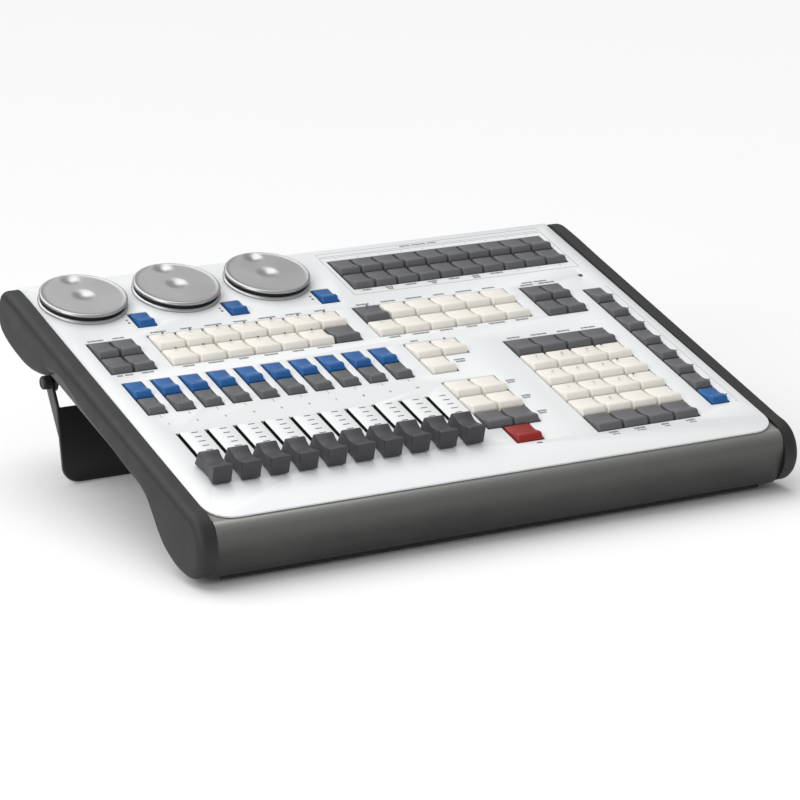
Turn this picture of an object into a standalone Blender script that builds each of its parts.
"""Lighting control desk: ten faders, three hand wheels, banks of keys and a folding stand.

Sizes are in millimetres. The desk is modelled square in its own frame: x to the right, y to the
back, z up from the face of the top panel, with the origin in the middle of the panel's front
edge. An empty then tips the whole desk back on its stand and sets it on the ground.
"""

import math

import bmesh
import bpy
from mathutils import Matrix, Vector

MM = 0.001

# Key pitch and the fields of keys set the size of the panel.
PITCH_X = 18.0
PITCH_Y = 19.05
FADERS = 10
LEFT_MARGIN = 13.7
FADER_TO_RECORD = 6.7
RECORD_COLUMNS = 2
RECORD_TO_NUMBER = 27.2
NUMBER_COLUMNS = 4
NUMBER_ROWS = 6
NUMBER_TO_MENU = 14.4
MENU_WIDTH = 13.2
RIGHT_MARGIN = 11.9
FRONT_MARGIN = 25.9
NUMBER_TO_PALETTE = 25.1
PALETTE_TO_MACRO = 22.2
BACK_MARGIN = 15.3
ATTRIBUTE_DROP = 0.6
ATTRIBUTE_PITCH = 18.15
ATTRIBUTE_TO_SWOP = 12.1
FIXTURE_MARGIN = 12.6
FIXTURE_PITCH = 14.65
FIXTURE_DROP = 0.8
FIXTURE_TO_ATTRIBUTE = 10.4
PALETTE_OVERHANG = 8.9
RECORD_RISE = 1.7
RECORD_KEY_SPAN = (0.49, 1.51)
VIEW_TO_MENU = 40.0
VIEW_PITCH = 14.5
VIEW_DROP = 2.7
MENU_RISE = 10.0
MENU_ROWS = 8
WHEEL_TO_MACRO = 22.3
MACRO_COLUMNS = 10
MACRO_MARGIN = 13.6
LAMP_MARGIN = 15.8
LAMP_RISE = 5.9
PANEL_WIDTH = (LEFT_MARGIN + FADER_TO_RECORD + RECORD_TO_NUMBER + NUMBER_TO_MENU + MENU_WIDTH
               + RIGHT_MARGIN + (FADERS + RECORD_COLUMNS + NUMBER_COLUMNS) * PITCH_X)
PANEL_DEPTH = (FRONT_MARGIN + NUMBER_TO_PALETTE + PALETTE_TO_MACRO + BACK_MARGIN
               + (NUMBER_ROWS + 4) * PITCH_Y)
LEFT = -PANEL_WIDTH / 2
RIGHT = PANEL_WIDTH / 2

# Top panel and case.
PANEL_SHEET = 1.2
PANEL_CORNER = 16.0
SEAT_GAP = 0.3
CHEEK_WIDTH = 11.0
CHEEK_RISE = 0.0
CHEEK_RISE_BACK = 2.4
CHEEK_OVERHANG = 2.5
CHEEK_EDGE = 5.0
CHEEK_BELOW = 0.2
CASE_DEPTH = 38.8
TRAY_SHEET = 1.5
TRAY_INSET = 8.0
TRAY_HALF = PANEL_WIDTH / 2 - TRAY_INSET
NOSE_BULGE = 9.5
NOSE_WALL = 2.5
NOSE_BACK = 18.0
REAR_SHEET = 1.5

# Keys.
KEY_GAP = 0.8
KEY_HEIGHT = 3.5
KEY_TRAVEL = 2.0
WINDOW_MARGIN = 0.4
WEB_TOP = -3.0
WEB_SHEET = 1.4
SWOP_WIDTH = 12.4

# Faders.
FADER_TRAVEL = 45.0
CAP_LENGTH = 23.5
CAP_WIDTH = 11.9
CAP_FRONT_HEIGHT = 12.1
CAP_BACK_HEIGHT = 12.0
CAP_LIFT = 1.0
STEM_LENGTH = 3.0
STEM_WIDTH = 1.2
STEM_CLEARANCE = 0.5
STEM_REACH = 10.0
SLOT_TO_SWOP = 23.3
SLOT_OFFSET = 1.0

# Hand wheels.
WHEELS = 3
WHEEL_RADIUS = 27.0
WHEEL_GAP = 8.1
WHEEL_EDGE = 1.5
WHEEL_SIDE = 4.5
WHEEL_TOP = 6.2
WHEEL_DISC = 2.6
WHEEL_RING = WHEEL_RADIUS + 0.6
SHAFT_RADIUS = 3.0
SHAFT_CLEARANCE = 0.4
BUSH_WALL = 1.6
BUSH_HOLE = SHAFT_RADIUS + BUSH_WALL + SEAT_GAP
WHEEL_KEY_WIDTH = 12.4
WHEEL_KEY_DEPTH = 17.4
WHEEL_KEY_ANGLE = math.radians(44.0)
WHEEL_KEY_GAP = 0.5
ENCODER_SIDE = 14.0
ENCODER_HEIGHT = 9.0

# Stand under the back of the case.
STAND_BELOW = 13.7
STAND_FROM_BACK = 27.5
STAND_ANGLE = math.radians(42.6)
STAND_LENGTH = 65.1
STAND_SHEET = 2.0
PLATE_TOP = 17.5
PLATE_FRONT = -3.0
STAND_ARM = 9.0
STAND_INSET = 5.9
STAND_FLARE = 6.0
STAND_CORNER = 9.0
PIVOT_RADIUS = 2.5
PIVOT_CLEARANCE = 0.3
KNOB_RADIUS = 4.6
KNOB_LENGTH = 4.5
FOOT_RADIUS = 7.0
FOOT_HEIGHT = 3.0
FOOT_FROM_FRONT = 14.5
FOOT_SPREAD = 140.0 / 186.0

# Sockets in the back panel.
SOCKETS = 4
SOCKET_PITCH = 34.0
SOCKET_RADIUS = 9.5
SOCKET_BODY = 11.5
SOCKET_DEPTH = 14.0
INLET_SIZE = (27.0, 20.0)
SWITCH_SIZE = (13.0, 19.5)
USB_SIZE = (13.0, 12.0)
SWITCH_THROW = math.radians(7.0)

# Heights and places that several pieces share.
TRAY_FLOOR = -CASE_DEPTH + TRAY_SHEET
WEB_BOTTOM = WEB_TOP - WEB_SHEET
BOARD_TOP = WEB_BOTTOM - KEY_TRAVEL - 1.4
BOARD_SHEET = 1.6
UNDER_PANEL = -PANEL_SHEET - SEAT_GAP
STAND_OUTER = TRAY_HALF - STAND_INSET
TAB_OUTER = STAND_OUTER - STAND_SHEET - SEAT_GAP
REAR_FRONT = PANEL_DEPTH - REAR_SHEET
REAR_BACK = PANEL_DEPTH
REAR_LOW = TRAY_FLOOR + SEAT_GAP
REAR_MIDDLE = REAR_LOW + 15.5
INLET_X = TRAY_HALF - 35.0
SWITCH_X = INLET_X - (INLET_SIZE[0] + SWITCH_SIZE[0]) / 2 - 1.0
USB_X = SWITCH_X - 30.0
SOCKET_X = [-TRAY_HALF + 32.0 + n * SOCKET_PITCH for n in range(SOCKETS)]
PIVOT = Vector((0, PANEL_DEPTH - STAND_FROM_BACK, -CASE_DEPTH - STAND_BELOW))
PALETTE_FRONT = FRONT_MARGIN + NUMBER_ROWS * PITCH_Y + NUMBER_TO_PALETTE
ATTRIBUTE_FRONT = PALETTE_FRONT - ATTRIBUTE_DROP
SWOP_BACK = ATTRIBUTE_FRONT - ATTRIBUTE_TO_SWOP
SWOP_FRONT = SWOP_BACK - 2 * PITCH_Y
SLOT_BACK = SWOP_FRONT - SLOT_TO_SWOP
FADER_REST = SLOT_BACK - STEM_CLEARANCE - STEM_LENGTH / 2 - FADER_TRAVEL
SLOT_FRONT = FADER_REST - STEM_LENGTH / 2 - STEM_CLEARANCE
SWOP_X = [LEFT + LEFT_MARGIN + SWOP_WIDTH / 2 + n * PITCH_X for n in range(FADERS)]
FADER_X = [x + SLOT_OFFSET for x in SWOP_X]
WHEEL_PITCH = 2 * WHEEL_RADIUS + WHEEL_GAP
WHEEL_X = [LEFT + WHEEL_SIDE + WHEEL_RADIUS + n * WHEEL_PITCH for n in range(WHEELS)]
WHEEL_Y = PANEL_DEPTH - WHEEL_EDGE - WHEEL_RADIUS
RECORD_LEFT = LEFT + LEFT_MARGIN + FADERS * PITCH_X + FADER_TO_RECORD
NUMBER_LEFT = RECORD_LEFT + RECORD_COLUMNS * PITCH_X + RECORD_TO_NUMBER
MENU_LEFT = RIGHT - RIGHT_MARGIN - MENU_WIDTH
MACRO_LEFT = WHEEL_X[-1] + WHEEL_RADIUS + WHEEL_TO_MACRO
MACRO_PITCH = (RIGHT - MACRO_MARGIN - MACRO_LEFT) / MACRO_COLUMNS
FIXTURE_LEFT = LEFT + FIXTURE_MARGIN
FIXTURE_BACK = ATTRIBUTE_FRONT - FIXTURE_DROP + 2 * PITCH_Y
ATTRIBUTE_LEFT = FIXTURE_LEFT + 2 * FIXTURE_PITCH + FIXTURE_TO_ATTRIBUTE
PALETTE_BACK = PALETTE_FRONT + 2 * PITCH_Y

# Each block of keys: left edge, back edge, column pitch and, row by row, its first and last column.
BLOCKS = {
    "macro": (MACRO_LEFT, PANEL_DEPTH - BACK_MARGIN, MACRO_PITCH, [(0, MACRO_COLUMNS)] * 2),
    "fixture": (FIXTURE_LEFT, FIXTURE_BACK, FIXTURE_PITCH, [(0, 2)] * 2),
    "attribute": (ATTRIBUTE_LEFT, ATTRIBUTE_FRONT + 2 * PITCH_Y, ATTRIBUTE_PITCH, [(0, 7)] * 2),
    "palette": (RECORD_LEFT - PALETTE_OVERHANG, PALETTE_BACK, PITCH_X, [(0, 6)] * 2),
    "page": (RECORD_LEFT, SWOP_BACK, PITCH_X, [(0, 2), (0, 1)]),
    "record": (RECORD_LEFT, FRONT_MARGIN + 4 * PITCH_Y + RECORD_RISE, PITCH_X,
               [(0, 2)] * 3 + [RECORD_KEY_SPAN]),
    "view": (MENU_LEFT - VIEW_TO_MENU, PALETTE_BACK - VIEW_DROP, VIEW_PITCH, [(0, 2)] * 2),
    "menu": (MENU_LEFT, FRONT_MARGIN + MENU_ROWS * PITCH_Y + MENU_RISE, MENU_WIDTH,
             [(0, 1)] * MENU_ROWS),
    "number": (NUMBER_LEFT, FRONT_MARGIN + NUMBER_ROWS * PITCH_Y, PITCH_X,
               [(0, NUMBER_COLUMNS)] * NUMBER_ROWS),
}

LAMP_RADIUS = 1.3
LAMP_PLACE = (RIGHT - LAMP_MARGIN, BLOCKS["view"][1] + LAMP_RISE)

# Each bank of keys that moves as one: its block, its first row, its rows and its colour.
BANKS = {
    "macro_keys": ("macro", 0, [(0, MACRO_COLUMNS)] * 2, "key_grey"),
    "fixture_keys": ("fixture", 0, [(0, 2)] * 2, "key_grey"),
    "attribute_keys": ("attribute", 0, [(0, 7), (0, 6)], "key_ivory"),
    "attribute_option_key": ("attribute", 1, [(6, 7)], "key_grey"),
    "palette_option_key": ("palette", 0, [(0, 1)], "key_grey"),
    "palette_keys": ("palette", 0, [(1, 6), (0, 6)], "key_ivory"),
    "page_keys": ("page", 0, [(0, 2), (0, 1)], "key_ivory"),
    "edit_keys": ("record", 0, [(0, 2)] * 2, "key_ivory"),
    "edit_option_keys": ("record", 2, [(0, 2)], "key_grey"),
    "record_key": ("record", 3, [RECORD_KEY_SPAN], "key_red"),
    "view_keys": ("view", 0, [(0, 2)] * 2, "key_grey"),
    "menu_keys": ("menu", 0, [(0, 1)] * (MENU_ROWS - 1), "key_grey"),
    "return_key": ("menu", MENU_ROWS - 1, [(0, 1)], "key_blue"),
    "command_keys_back": ("number", 0, [(0, 4)], "key_grey"),
    "number_keys": ("number", 1, [(0, 4)] * 4, "key_ivory"),
    "command_keys_front": ("number", 5, [(0, 4)], "key_grey"),
}

# Colour, roughness and metallic value of each finish.
FINISHES = {
    "panel_white": ((0.80, 0.81, 0.82), 0.45, 0.0),
    "cheek_black": ((0.045, 0.045, 0.047), 0.55, 0.0),
    "nose_grey": ((0.12, 0.12, 0.115), 0.38, 0.3),
    "case_black": ((0.018, 0.018, 0.019), 0.5, 0.2),
    "key_grey": ((0.085, 0.085, 0.09), 0.5, 0.0),
    "key_ivory": ((0.82, 0.79, 0.70), 0.45, 0.0),
    "key_blue": ((0.02, 0.13, 0.40), 0.42, 0.0),
    "key_red": ((0.42, 0.025, 0.02), 0.42, 0.0),
    "cap_grey": ((0.05, 0.05, 0.055), 0.5, 0.0),
    "wheel_silver": ((0.55, 0.55, 0.55), 0.3, 0.9),
    "board_green": ((0.02, 0.12, 0.05), 0.5, 0.0),
    "steel": ((0.55, 0.55, 0.56), 0.35, 1.0),
    "socket_black": ((0.02, 0.02, 0.02), 0.4, 0.0),
    "foot_rubber": ((0.012, 0.012, 0.012), 0.85, 0.0),
    "lamp": ((0.02, 0.02, 0.02), 0.2, 0.0),
}


def clear_scene():
    for obj in list(bpy.data.objects):
        bpy.data.objects.remove(obj, do_unlink=True)


def material(name):
    made = bpy.data.materials.get(name)
    if made is None:
        colour, roughness, metallic = FINISHES[name]
        made = bpy.data.materials.new(name)
        made.use_nodes = True
        shader = made.node_tree.nodes["Principled BSDF"]
        shader.inputs["Base Color"].default_value = (*colour, 1.0)
        shader.inputs["Roughness"].default_value = roughness
        shader.inputs["Metallic"].default_value = metallic
    return made


def solid(name, shape, finish=None, origin=(0, 0, 0)):
    """An object from a bmesh in desk millimetres, standing on the desk's empty with this origin."""
    bmesh.ops.recalc_face_normals(shape, faces=shape.faces)
    bmesh.ops.transform(shape, matrix=Matrix.Scale(MM, 4) @ Matrix.Translation(-Vector(origin)),
                        verts=shape.verts)
    mesh = bpy.data.meshes.new(name)
    shape.to_mesh(mesh)
    shape.free()
    obj = bpy.data.objects.new(name, mesh)
    bpy.context.collection.objects.link(obj)
    obj.parent = desk
    obj.location = Vector(origin) * MM
    if finish:
        mesh.materials.append(material(finish))
    else:
        obj.hide_render = True
        obj.display_type = "WIRE"
    return obj


def combine(target, tool, operation):
    step = target.modifiers.new(operation.lower(), "BOOLEAN")
    step.solver = "EXACT"
    step.operation = operation
    step.object = tool


def cut(target, tool):
    combine(target, tool, "DIFFERENCE")


def join(target, tool):
    combine(target, tool, "UNION")


def prism(shape, outline, axis, low, high):
    """Adds a straight prism: an outline in the plane across axis, drawn from low to high along it."""
    def point(a, b, c):
        return {"x": (c, a, b), "z": (a, b, c)}[axis]
    bottom = [shape.verts.new(point(a, b, low)) for a, b in outline]
    top = [shape.verts.new(point(a, b, high)) for a, b in outline]
    shape.faces.new(bottom)
    shape.faces.new(top)
    for n in range(len(outline)):
        m = (n + 1) % len(outline)
        shape.faces.new((bottom[n], bottom[m], top[m], top[n]))
    return shape


def box(shape, low, high):
    (x0, y0, z0), (x1, y1, z1) = low, high
    return prism(shape, [(x0, y0), (x1, y0), (x1, y1), (x0, y1)], "z", z0, z1)


def arc(centre, radius, start, end, steps):
    """Points of an arc, with angles in degrees."""
    angles = [math.radians(start + (end - start) * n / steps) for n in range(steps + 1)]
    return [(centre[0] + radius * math.cos(a), centre[1] + radius * math.sin(a)) for a in angles]


def circle(centre, radius, steps):
    return arc(centre, radius, 0, 360 * (steps - 1) / steps, steps - 1)


def turned(shape, profile, centre, steps):
    """Adds a turned piece: a profile of (radius, z) whose ends lie on the axis."""
    rings = []
    for radius, z in profile:
        if radius == 0:
            rings.append([shape.verts.new((centre[0], centre[1], z))])
        else:
            rings.append([shape.verts.new((x, y, z)) for x, y in circle(centre, radius, steps)])
    for low, high in zip(rings, rings[1:]):
        for n in range(steps):
            corners = [low[n % len(low)], low[(n + 1) % len(low)]]
            corners += [high[(n + 1) % len(high)], high[n % len(high)]]
            shape.faces.new(list(dict.fromkeys(corners)))
    return shape


def turned_ring(shape, loop, centre, steps):
    """Adds a ring: a closed loop of (radius, z) turned about the vertical line through centre."""
    hoops = [[shape.verts.new((a, b, z)) for a, b in circle(centre, radius, steps)] for radius, z in loop]
    for one, two in zip(hoops, hoops[1:] + hoops[:1]):
        for n in range(steps):
            m = (n + 1) % steps
            shape.faces.new((one[n], one[m], two[m], two[n]))
    return shape


def rows_outline(left, back, pitch, first_row, rows, grow):
    """Outline round rows of keys, each from its first to its last column, grown on all sides."""
    right_side = []
    left_side = []
    for side, points, sign in ((1, right_side, 1), (0, left_side, -1)):
        for n, row in enumerate(rows):
            x = left + row[side] * pitch + sign * grow
            top = back - (first_row + n) * PITCH_Y
            bottom = top - PITCH_Y
            if n == 0:
                top += grow
            else:
                top += grow * sign * (1 if row[side] > rows[n - 1][side] else -1)
            if n == len(rows) - 1:
                bottom -= grow
            else:
                bottom += grow * sign * (1 if rows[n + 1][side] > row[side] else -1)
            same = n > 0 and row[side] == rows[n - 1][side]
            if same:
                points.pop()
            else:
                points.append((x, top))
            points.append((x, bottom))
    return right_side + left_side[::-1]


def key(shape, x0, x1, back, front):
    """Adds one key cap: low at the back, a shallow hollow, a crest and a steep front face."""
    x0, x1 = x0 + KEY_GAP / 2, x1 - KEY_GAP / 2
    back, front = back - KEY_GAP / 2, front + KEY_GAP / 2
    depth = back - front
    foot = WEB_TOP - 0.5
    profile = [(back, foot), (back, 0.6 * KEY_HEIGHT), (back - 0.45 * depth, 0.62 * KEY_HEIGHT),
               (back - 0.78 * depth, KEY_HEIGHT), (back - 0.92 * depth, 0.95 * KEY_HEIGHT),
               (front, 0.35 * KEY_HEIGHT), (front, foot)]
    return prism(shape, profile, "x", x0, x1)


def key_bank(name, web_outline, cells, finish):
    """Key caps on a web that lies under the panel, as one moulding whose origin is its middle."""
    xs = [x for x, _ in web_outline]
    ys = [y for _, y in web_outline]
    origin = ((min(xs) + max(xs)) / 2, (min(ys) + max(ys)) / 2, 0)
    bank = solid(name, prism(bmesh.new(), web_outline, "z", WEB_BOTTOM, WEB_TOP), finish, origin)
    caps = bmesh.new()
    for cell in cells:
        key(caps, *cell)
    join(bank, solid(name + "_caps", caps))
    return bank


def row_cells(left, back, pitch, first_row, rows):
    cells = []
    for n, (first, last) in enumerate(rows):
        top = back - (first_row + n) * PITCH_Y
        columns = max(1, int(last - first))
        for c in range(columns):
            x0 = left + (first + c * (last - first) / columns) * pitch
            x1 = left + (first + (c + 1) * (last - first) / columns) * pitch
            cells.append((x0, x1, top, top - PITCH_Y))
    return cells


def wheel_key_corner(n):
    """Back left corner of the key beside a hand wheel, just clear of the wheel's ring."""
    reach = WHEEL_RING + WHEEL_KEY_GAP + WINDOW_MARGIN
    return (WHEEL_X[n] + reach * math.cos(WHEEL_KEY_ANGLE), WHEEL_Y - reach * math.sin(WHEEL_KEY_ANGLE))


def make_keys():
    for name, (block, first_row, rows, finish) in BANKS.items():
        left, back, pitch, _ = BLOCKS[block]
        web = rows_outline(left, back, pitch, first_row, rows, -SEAT_GAP)
        key_bank(name, web, row_cells(left, back, pitch, first_row, rows), finish)
    for n in range(WHEELS):
        x, y = wheel_key_corner(n)
        web = [(x, y), (x + WHEEL_KEY_WIDTH, y)]
        web += [(x + WHEEL_KEY_WIDTH, y - WHEEL_KEY_DEPTH), (x, y - WHEEL_KEY_DEPTH)]
        cell = (x, x + WHEEL_KEY_WIDTH, y, y - WHEEL_KEY_DEPTH)
        key_bank(f"wheel_key_{n + 1}", web, [cell], "key_blue")
    for row, name, finish in ((0, "swop_keys", "key_blue"), (1, "flash_keys", "key_grey")):
        back = SWOP_BACK - row * PITCH_Y - SEAT_GAP
        front = back - PITCH_Y + 2 * SEAT_GAP
        x0, x1 = SWOP_X[0] - SWOP_WIDTH / 2, SWOP_X[-1] + SWOP_WIDTH / 2
        cells = [(x - SWOP_WIDTH / 2, x + SWOP_WIDTH / 2, back + SEAT_GAP, front - SEAT_GAP)
                 for x in SWOP_X]
        key_bank(name, [(x0, front), (x1, front), (x1, back), (x0, back)], cells, finish)


def slot_outline(x, half):
    """A fader's slot through the panel, with round ends."""
    front_end = arc((x, SLOT_FRONT + half), half, 180, 360, 6)
    return front_end + arc((x, SLOT_BACK - half), half, 0, 180, 6)


def make_panel():
    corner = PANEL_CORNER
    outline = arc((LEFT + corner, corner), corner, 180, 270, 6)
    outline += arc((RIGHT - corner, corner), corner, 270, 360, 6)
    outline += [(RIGHT, PANEL_DEPTH), (LEFT, PANEL_DEPTH)]
    panel = solid("top_panel", prism(bmesh.new(), outline, "z", -PANEL_SHEET, 0), "panel_white")
    holes = bmesh.new()
    low, high = -PANEL_SHEET - 1, 1
    for left, back, pitch, rows in BLOCKS.values():
        prism(holes, rows_outline(left, back, pitch, 0, rows, WINDOW_MARGIN), "z", low, high)
    for n in range(WHEELS):
        x, y = wheel_key_corner(n)
        box(holes, (x - WINDOW_MARGIN, y - WHEEL_KEY_DEPTH - WINDOW_MARGIN, low),
            (x + WHEEL_KEY_WIDTH + WINDOW_MARGIN, y + WINDOW_MARGIN, high))
        prism(holes, circle((WHEEL_X[n], WHEEL_Y), BUSH_HOLE, 16), "z", low, high)
    half = SWOP_WIDTH / 2 + WINDOW_MARGIN
    slot = STEM_WIDTH / 2 + STEM_CLEARANCE
    for x in SWOP_X:
        box(holes, (x - half, SWOP_FRONT - WINDOW_MARGIN, low),
            (x + half, SWOP_BACK + WINDOW_MARGIN, high))
        prism(holes, slot_outline(x + SLOT_OFFSET, slot), "z", low, high)
    prism(holes, circle(LAMP_PLACE, LAMP_RADIUS + SEAT_GAP, 12), "z", low, high)
    cut(panel, solid("panel_holes", holes))


def make_lamp():
    profile = [(0, -6), (LAMP_RADIUS, -6), (LAMP_RADIUS, 0.3), (0.6 * LAMP_RADIUS, 0.8), (0, 0.9)]
    solid("status_lamp", turned(bmesh.new(), profile, LAMP_PLACE, 12), "lamp")


def cheek_underside():
    """The underside from the deep front end past the shallow waist to the smaller round back end."""
    back = PANEL_DEPTH + CHEEK_OVERHANG
    waist_front, waist_back = 90.0, back - 80.0
    points = [(28.0, 0.8 - CASE_DEPTH), (41.0, 5.3 - CASE_DEPTH), (52.0, -26.0), (61.0, -20.0)]
    points += [(waist_front, -18.0), ((waist_front + waist_back) / 2, -16.0), (waist_back, -14.5)]
    points += [(back - 72.5, -21.5), (back - 63.5, -25.3), (back - 52.5, -28.3), (back - 39.0, -29.6)]
    points += [(back - 26.5, -29.0)]
    return points + arc((back - 15.5, -12.0), 15.5, 285, 360, 5)


def make_cheeks():
    """Side mouldings: an outer skin with a rounded rim, and a ledge that carries the panel."""
    back = PANEL_DEPTH + CHEEK_OVERHANG
    underside = cheek_underside()
    lobe = (CHEEK_RISE + CASE_DEPTH + CHEEK_BELOW) / 2
    skin_outline = [(16.0, CHEEK_RISE)] + arc((8.0, CHEEK_RISE - lobe), lobe, 102, 270, 9) + underside
    skin_outline += [(back - 0.7, -5.0), (back - 3.2, CHEEK_RISE_BACK - 2.9)]
    skin_outline += [(back - 8.0, CHEEK_RISE_BACK - 0.5)]
    skin_outline += [(back - 14.0, CHEEK_RISE_BACK)]
    ledge_front = NOSE_BACK + 1.5
    ledge_outline = [(ledge_front, UNDER_PANEL), (ledge_front, CHEEK_BELOW - CASE_DEPTH)] + underside
    ledge_outline += [(back - 0.7, -5.0), (back - 2.0, UNDER_PANEL)]
    for name, side in (("left_cheek", -1), ("right_cheek", 1)):
        inner = side * (PANEL_WIDTH / 2 + SEAT_GAP)
        outer = side * (PANEL_WIDTH / 2 + SEAT_GAP + CHEEK_WIDTH)
        shape = prism(bmesh.new(), skin_outline, "x", inner, outer)
        rim = [edge for edge in shape.edges if all(abs(v.co.x - outer) < 1e-4 for v in edge.verts)]
        bmesh.ops.recalc_face_normals(shape, faces=shape.faces)
        bmesh.ops.bevel(shape, geom=rim, offset=CHEEK_EDGE, segments=3, profile=0.5, affect="EDGES")
        cheek = solid(name, shape, "cheek_black")
        ledge = prism(bmesh.new(), ledge_outline, "x", side * (TRAY_HALF + SEAT_GAP), inner + side)
        join(cheek, solid(name + "_ledge", ledge))


def make_nose():
    """A curved channel, open at the back, between the cheeks and under the panel's front edge."""
    top, bottom = UNDER_PANEL, TRAY_FLOOR + SEAT_GAP
    middle, half = (top + bottom) / 2, (top - bottom) / 2

    def side(wall):
        angles = [math.pi * (0.5 + n / 12) for n in range(13)]
        return [((NOSE_BULGE - wall) * math.cos(a), middle + (half - wall) * math.sin(a)) for a in angles]

    outline = [(NOSE_BACK, top)] + side(0) + [(NOSE_BACK, bottom), (NOSE_BACK, bottom + NOSE_WALL)]
    outline += side(NOSE_WALL)[::-1] + [(NOSE_BACK, top - NOSE_WALL)]
    half_width = PANEL_WIDTH / 2
    solid("front_nose", prism(bmesh.new(), outline, "x", -half_width, half_width), "nose_grey")


def pivot_tab(side):
    """Outline of the ear that hangs under the case round the stand's pivot."""
    y, z = PIVOT.y, PIVOT.z
    return [(y + 8, TRAY_FLOOR - 0.5), (y - 8, TRAY_FLOOR - 0.5)] + arc((y, z), 6.0, 180, 360, 8)


def make_tray():
    back = PANEL_DEPTH - SEAT_GAP
    floor = box(bmesh.new(), (-TRAY_HALF, -2.0, -CASE_DEPTH), (TRAY_HALF, back, TRAY_FLOOR))
    tray = solid("base_tray", floor, "case_black")
    for name, side in (("left", -1), ("right", 1)):
        wall = box(bmesh.new(), (side * TRAY_HALF, NOSE_BACK + 1.0, -CASE_DEPTH),
                   (side * (TRAY_HALF - TRAY_SHEET), back, UNDER_PANEL))
        join(tray, solid(f"tray_wall_{name}", wall))
        tab = prism(bmesh.new(), pivot_tab(side), "x", side * TAB_OUTER, side * (TAB_OUTER - 2.0))
        join(tray, solid(f"tray_tab_{name}", tab))
        hole = prism(bmesh.new(), circle((PIVOT.y, PIVOT.z), PIVOT_RADIUS + PIVOT_CLEARANCE, 16), "x",
                     side * (TAB_OUTER + 1.0), side * (TAB_OUTER - 3.0))
        cut(tray, solid(f"tray_tab_hole_{name}", hole))


def leg_point(along, across):
    """A point of the stand in desk y and z: along the leg from its pivot, and across to the back."""
    down = (-math.cos(STAND_ANGLE), -math.sin(STAND_ANGLE))
    behind = (math.sin(STAND_ANGLE), -math.cos(STAND_ANGLE))
    return (PIVOT.y + along * down[0] + across * behind[0], PIVOT.z + along * down[1] + across * behind[1])


def make_stand():
    """A bent sheet leg: a wide plate with an arm at each end that turns on the case's ears."""
    shape = bmesh.new()
    corner = STAND_CORNER
    half = STAND_OUTER + STAND_FLARE
    face = [(-STAND_OUTER, PLATE_TOP)]
    face += arc((-half + corner, STAND_LENGTH - corner), corner, 180, 90, 5)
    face += arc((half - corner, STAND_LENGTH - corner), corner, 90, 0, 5)
    face += [(STAND_OUTER, PLATE_TOP)]
    near = [shape.verts.new((x, *leg_point(u, PLATE_FRONT))) for x, u in face]
    far = [shape.verts.new((x, *leg_point(u, PLATE_FRONT + STAND_SHEET))) for x, u in face]
    shape.faces.new(near)
    shape.faces.new(far)
    for n in range(len(face)):
        m = (n + 1) % len(face)
        shape.faces.new((near[n], near[m], far[m], far[n]))
    origin = PIVOT
    stand = solid("stand", shape, "case_black", origin)
    for name, side in (("left", -1), ("right", 1)):
        arm = [(-3.5, 6.0), (-6.0, 3.5), (-6.0, -0.5), (-3.5, -3.0), (PLATE_TOP + 19.0, -3.0)]
        arm += [(PLATE_TOP + 19.0, 3.0), (PLATE_TOP + 16.0, STAND_ARM - 3.0)]
        outline = [leg_point(u, v) for u, v in arm]
        strap = prism(bmesh.new(), outline, "x", side * STAND_OUTER, side * (STAND_OUTER - STAND_SHEET))
        join(stand, solid(f"stand_arm_{name}", strap, None, origin))
        hole = prism(bmesh.new(), circle((PIVOT.y, PIVOT.z), PIVOT_RADIUS + PIVOT_CLEARANCE, 16), "x",
                     side * (STAND_OUTER + 1.0), side * (STAND_OUTER - STAND_SHEET - 1.0))
        cut(stand, solid(f"stand_hole_{name}", hole, None, origin))


def make_stand_knobs():
    """Thumb screws that clamp the stand's arms to the case's ears."""
    for name, side in (("stand_knob_left", -1), ("stand_knob_right", 1)):
        near = STAND_OUTER + SEAT_GAP
        far = near + KNOB_LENGTH
        origin = Vector((side * near, PIVOT.y, PIVOT.z))
        shaft = prism(bmesh.new(), circle((PIVOT.y, PIVOT.z), PIVOT_RADIUS, 12), "x",
                      side * (TAB_OUTER - 4.0), side * (far - 1.0))
        knob = solid(name, shaft, "case_black", origin)
        grip = []
        for n in range(16):
            radius = KNOB_RADIUS if n % 2 else KNOB_RADIUS - 0.7
            angle = math.tau * n / 16
            grip.append((PIVOT.y + radius * math.cos(angle), PIVOT.z + radius * math.sin(angle)))
        head = prism(bmesh.new(), grip, "x", side * near, side * far)
        join(knob, solid(name + "_head", head, None, origin))


def make_feet():
    for name, side in (("front_foot_left", -1), ("front_foot_right", 1)):
        centre = (side * FOOT_SPREAD * PANEL_WIDTH / 2, FOOT_FROM_FRONT)
        top = -CASE_DEPTH - SEAT_GAP
        profile = [(0, top), (FOOT_RADIUS, top), (FOOT_RADIUS, top - FOOT_HEIGHT + 0.8),
                   (FOOT_RADIUS - 0.8, top - FOOT_HEIGHT), (0, top - FOOT_HEIGHT)]
        solid(name, turned(bmesh.new(), profile, centre, 20), "foot_rubber")


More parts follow.
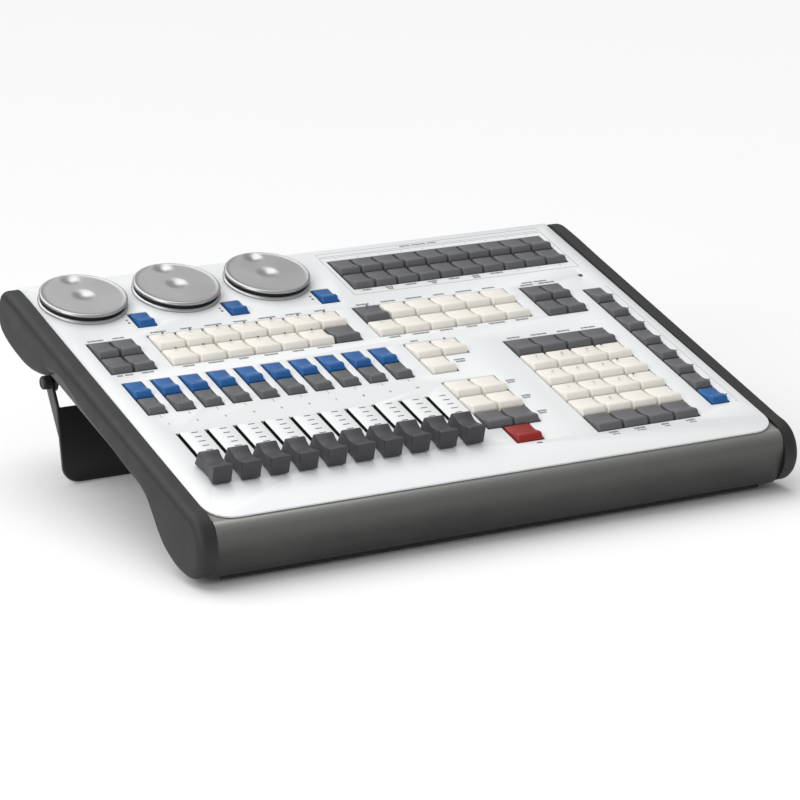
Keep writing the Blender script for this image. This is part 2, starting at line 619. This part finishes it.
def make_faders():
    bank = box(bmesh.new(), (-TRAY_HALF + TRAY_SHEET + 1, SLOT_FRONT - 12, UNDER_PANEL - 12),
               (FADER_X[-1] + 8, SLOT_BACK + 12, UNDER_PANEL - 0.5))
    bank = solid("fader_bank", bank, "steel")
    slots = bmesh.new()
    reach = STEM_WIDTH / 2 + STEM_CLEARANCE
    for n, x in enumerate(FADER_X):
        box(slots, (x - reach, SLOT_FRONT, -STEM_REACH - 2), (x + reach, SLOT_BACK, 0))
        origin = (x, FADER_REST, 0)
        y0, y1 = FADER_REST - CAP_LENGTH / 2, FADER_REST + CAP_LENGTH / 2
        side = [(y0, CAP_LIFT), (y0, CAP_FRONT_HEIGHT), (y0 + 2.5, CAP_FRONT_HEIGHT)]
        side += [(y0 + 0.35 * CAP_LENGTH, CAP_FRONT_HEIGHT - 2.2)]
        side += [(y0 + 0.6 * CAP_LENGTH, CAP_BACK_HEIGHT - 2.2), (y1 - 3.0, CAP_BACK_HEIGHT)]
        side += [(y1 - 0.8, CAP_BACK_HEIGHT - 1.4), (y1, CAP_LIFT)]
        cap = prism(bmesh.new(), side, "x", x - CAP_WIDTH / 2, x + CAP_WIDTH / 2)
        fader = solid(f"fader_{n + 1}", cap, "cap_grey", origin)
        stem = box(bmesh.new(), (x - STEM_WIDTH / 2, FADER_REST - STEM_LENGTH / 2, -STEM_REACH),
                   (x + STEM_WIDTH / 2, FADER_REST + STEM_LENGTH / 2, CAP_LIFT + 2))
        join(fader, solid(f"fader_{n + 1}_stem", stem, None, origin))
    cut(bank, solid("fader_bank_slots", slots))


def make_wheels():
    """Each wheel is a dished disc on a shaft that turns in an encoder under the key board."""
    encoder_top = BOARD_TOP - BOARD_SHEET - SEAT_GAP
    shaft_end = encoder_top - 5.0
    for n, x in enumerate(WHEEL_X):
        centre = (x, WHEEL_Y)
        origin = (x, WHEEL_Y, 0)
        under = WHEEL_TOP - WHEEL_DISC
        rim = WHEEL_RADIUS - 2.0
        face = WHEEL_TOP - 0.5
        profile = [(0, shaft_end), (SHAFT_RADIUS, shaft_end), (SHAFT_RADIUS, under - 1.0)]
        profile += [(rim, under - 1.0), (rim, under), (WHEEL_RADIUS, under + 0.4)]
        profile += [(WHEEL_RADIUS, WHEEL_TOP - 0.9), (WHEEL_RADIUS - 1.2, WHEEL_TOP), (rim - 0.6, face)]
        profile += [(7.5, face), (5.5, face - 0.8), (0, face - 1.4)]
        wheel = solid(f"wheel_{n + 1}", turned(bmesh.new(), profile, centre, 32), "wheel_silver", origin)
        dimple = bmesh.new()
        bmesh.ops.create_icosphere(dimple, subdivisions=2, radius=12.0,
                                   matrix=Matrix.Translation((x, WHEEL_Y + 0.78 * WHEEL_RADIUS - 1.5,
                                                              WHEEL_TOP + 9.9)))
        cut(wheel, solid(f"wheel_{n + 1}_dimple", dimple, None, origin))
        bore, bush = SHAFT_RADIUS + SHAFT_CLEARANCE, SHAFT_RADIUS + BUSH_WALL
        loop = [(bore, encoder_top - 0.5), (bore, 2.0), (WHEEL_RING - 1.0, 2.0), (WHEEL_RING, 1.2)]
        loop += [(WHEEL_RING, SEAT_GAP), (bush, SEAT_GAP), (bush, encoder_top - 0.5)]
        encoder = solid(f"encoder_{n + 1}", turned_ring(bmesh.new(), loop, centre, 32), "wheel_silver")
        half = ENCODER_SIDE / 2
        body = box(bmesh.new(), (x - half, WHEEL_Y - half, encoder_top - ENCODER_HEIGHT),
                   (x + half, WHEEL_Y + half, encoder_top))
        join(encoder, solid(f"encoder_{n + 1}_body", body))
        well = prism(bmesh.new(), circle(centre, bore, 32), "z", shaft_end - 1.0, encoder_top + 0.5)
        cut(encoder, solid(f"encoder_{n + 1}_well", well))


def make_boards():
    side = TRAY_HALF - TRAY_SHEET - 1.0
    split = RECORD_LEFT - 5.0
    key_front = SLOT_BACK + 14.0
    back = PANEL_DEPTH - 8.0
    outline = [(-side, key_front), (split, key_front), (split, NOSE_BACK + 3.0)]
    outline += [(side, NOSE_BACK + 3.0), (side, back), (-side, back)]
    board = prism(bmesh.new(), outline, "z", BOARD_TOP - BOARD_SHEET, BOARD_TOP)
    board = solid("key_board", board, "board_green")
    holes = bmesh.new()
    for x in WHEEL_X:
        prism(holes, circle((x, WHEEL_Y), BUSH_HOLE, 16), "z", BOARD_TOP - 3, BOARD_TOP + 1)
    prism(holes, circle(LAMP_PLACE, LAMP_RADIUS + 0.5, 8), "z", BOARD_TOP - 3, BOARD_TOP + 1)
    cut(board, solid("key_board_holes", holes))
    low = TRAY_FLOOR + 4.0
    middle = 0.4 * PANEL_DEPTH
    processor = box(bmesh.new(), (-0.3 * side, middle, low), (side, back - 22, low + BOARD_SHEET))
    processor = solid("processor_board", processor, "board_green")
    chips = bmesh.new()
    for n in range(4):
        x = -0.2 * side + n * 0.28 * side
        box(chips, (x, middle + 20, low + 1), (x + 22, middle + 42, low + 5))
    join(processor, solid("processor_chips", chips))
    supply = box(bmesh.new(), (-side, middle, TRAY_FLOOR + 1), (-0.45 * side, back - 26, TRAY_FLOOR + 13))
    solid("power_supply", supply, "steel")


def plate_on_rear(shape, x, width, height, thickness):
    """Adds a flange plate that lies on the outside of the back panel."""
    y0 = REAR_BACK + SEAT_GAP
    return box(shape, (x - width / 2, y0, REAR_MIDDLE - height / 2),
               (x + width / 2, y0 + thickness, REAR_MIDDLE + height / 2))


def through_rear(shape, x, width, height, depth):
    """Adds the body that passes through the back panel into the case."""
    return box(shape, (x - width / 2, REAR_FRONT - depth, REAR_MIDDLE - height / 2),
               (x + width / 2, REAR_BACK + SEAT_GAP + 1.0, REAR_MIDDLE + height / 2))


def round_along_y(shape, x, radius, y0, y1, steps):
    ends = []
    for y in (y0, y1):
        ends.append([shape.verts.new((x + a, y, REAR_MIDDLE + b)) for a, b in circle((0, 0), radius, steps)])
    shape.faces.new(ends[0])
    shape.faces.new(ends[1])
    for n in range(steps):
        m = (n + 1) % steps
        shape.faces.new((ends[0][n], ends[0][m], ends[1][m], ends[1][n]))
    return shape


def make_rear():
    half = TRAY_HALF - TRAY_SHEET - SEAT_GAP
    plate = box(bmesh.new(), (-half, REAR_FRONT, REAR_LOW), (half, REAR_BACK, UNDER_PANEL))
    rear = solid("rear_panel", plate, "case_black")
    holes = bmesh.new()
    inside, outside = REAR_FRONT - 1, REAR_BACK + 1
    module = INLET_X - SWITCH_X + (INLET_SIZE[0] + SWITCH_SIZE[0]) / 2
    centre = (INLET_X + SWITCH_X) / 2 + (INLET_SIZE[0] - SWITCH_SIZE[0]) / 4
    windows = [(centre, module, INLET_SIZE[1]), (USB_X, *USB_SIZE)]
    for x, width, height in windows:
        grow = SEAT_GAP
        box(holes, (x - width / 2 - grow, inside, REAR_MIDDLE - height / 2 - grow),
            (x + width / 2 + grow, outside, REAR_MIDDLE + height / 2 + grow))
    for x in SOCKET_X:
        round_along_y(holes, x, SOCKET_BODY + SEAT_GAP, inside, outside, 24)
    cut(rear, solid("rear_holes", holes))
    for n, x in enumerate(SOCKET_X):
        deep = REAR_FRONT - SOCKET_DEPTH
        body = round_along_y(bmesh.new(), x, SOCKET_BODY, deep, REAR_BACK + 1.3, 24)
        socket = solid(f"dmx_socket_{n + 1}", body, "socket_black")
        join(socket, solid(f"dmx_flange_{n + 1}", plate_on_rear(bmesh.new(), x, 26.0, 30.0, 2.0)))
        cup = round_along_y(bmesh.new(), x, SOCKET_RADIUS, deep + 4.0, REAR_BACK + 4, 24)
        cut(socket, solid(f"dmx_cup_{n + 1}", cup))
    socket = solid("usb_socket", through_rear(bmesh.new(), USB_X, *USB_SIZE, 12.0), "socket_black")
    flange = plate_on_rear(bmesh.new(), USB_X, USB_SIZE[0] + 4, USB_SIZE[1] + 4, 1.5)
    join(socket, solid("usb_flange", flange))
    cut(socket, solid("usb_mouth", mouth_in_rear(USB_X, USB_SIZE, 2.0, 8.0)))


def mouth_in_rear(x, size, wall, depth):
    """A cutter for the open mouth of a socket, leaving a wall all round."""
    width, height = size[0] - 2 * wall, size[1] - 2 * wall
    return box(bmesh.new(), (x - width / 2, REAR_FRONT - depth, REAR_MIDDLE - height / 2),
               (x + width / 2, REAR_BACK + 4, REAR_MIDDLE + height / 2))


def make_power_inlet():
    """Inlet and switch in one moulding, with a rocker that tips in its own window."""
    middle = (INLET_X + SWITCH_X) / 2
    span = INLET_X - SWITCH_X + (INLET_SIZE[0] + SWITCH_SIZE[0]) / 2
    module = (span, INLET_SIZE[1])
    centre = middle + (INLET_SIZE[0] - SWITCH_SIZE[0]) / 4
    inlet = solid("power_inlet", through_rear(bmesh.new(), centre, *module, 18.0), "socket_black")
    join(inlet, solid("inlet_flange", plate_on_rear(bmesh.new(), centre, span + 5, INLET_SIZE[1] + 5, 2.0)))
    cut(inlet, solid("inlet_mouth", mouth_in_rear(INLET_X, INLET_SIZE, 2.0, 14.0)))
    cut(inlet, solid("switch_window", mouth_in_rear(SWITCH_X, SWITCH_SIZE, 1.5, 7.0)))
    width, height = SWITCH_SIZE
    pivot_y = REAR_BACK - 1.0
    origin = Vector((SWITCH_X, pivot_y, REAR_MIDDLE))
    reach = height / 2 - 2.6
    face = [(-2.6, -reach), (3.4, -reach), (2.4, 0), (3.4, reach), (-2.6, reach)]
    outline = []
    for y, z in face:
        turned_y = y * math.cos(SWITCH_THROW) - z * math.sin(SWITCH_THROW)
        turned_z = y * math.sin(SWITCH_THROW) + z * math.cos(SWITCH_THROW)
        outline.append((pivot_y + turned_y, REAR_MIDDLE + turned_z))
    rocker = prism(bmesh.new(), outline, "x", SWITCH_X - width / 2 + 2.0, SWITCH_X + width / 2 - 2.0)
    solid("power_rocker", rocker, "socket_black", origin)


def contact_tilt():
    """The angle at which the front feet and the stand both reach the ground."""
    foot = Vector((FOOT_FROM_FRONT - FOOT_RADIUS + 0.8, -CASE_DEPTH - SEAT_GAP - FOOT_HEIGHT))
    toe = Vector(leg_point(STAND_LENGTH, PLATE_FRONT))
    return math.atan2(foot.y - toe.y, toe.x - foot.x)


def set_on_ground():
    """Tips the desk onto its stand and puts the middle of its base at the world's origin."""
    desk.rotation_euler = (contact_tilt(), 0, 0)
    bpy.context.view_layer.update()
    graph = bpy.context.evaluated_depsgraph_get()
    low = Vector((math.inf,) * 3)
    high = -low
    for obj in bpy.data.objects:
        if obj.type != "MESH" or obj.hide_render:
            continue
        shown = obj.evaluated_get(graph)
        for vertex in shown.data.vertices:
            place = shown.matrix_world @ vertex.co
            low = Vector(map(min, low, place))
            high = Vector(map(max, high, place))
    desk.location -= Vector(((low.x + high.x) / 2, (low.y + high.y) / 2, low.z))


def shade():
    for obj in bpy.data.objects:
        if obj.type == "MESH":
            obj.data.shade_smooth()
            obj.data.set_sharp_from_angle(angle=math.radians(35))


clear_scene()
desk = bpy.data.objects.new("desk", None)
bpy.context.collection.objects.link(desk)
make_panel()
make_lamp()
make_cheeks()
make_nose()
make_tray()
make_rear()
make_power_inlet()
make_boards()
make_keys()
make_faders()
make_wheels()
make_stand()
make_stand_knobs()
make_feet()
shade()
set_on_ground()
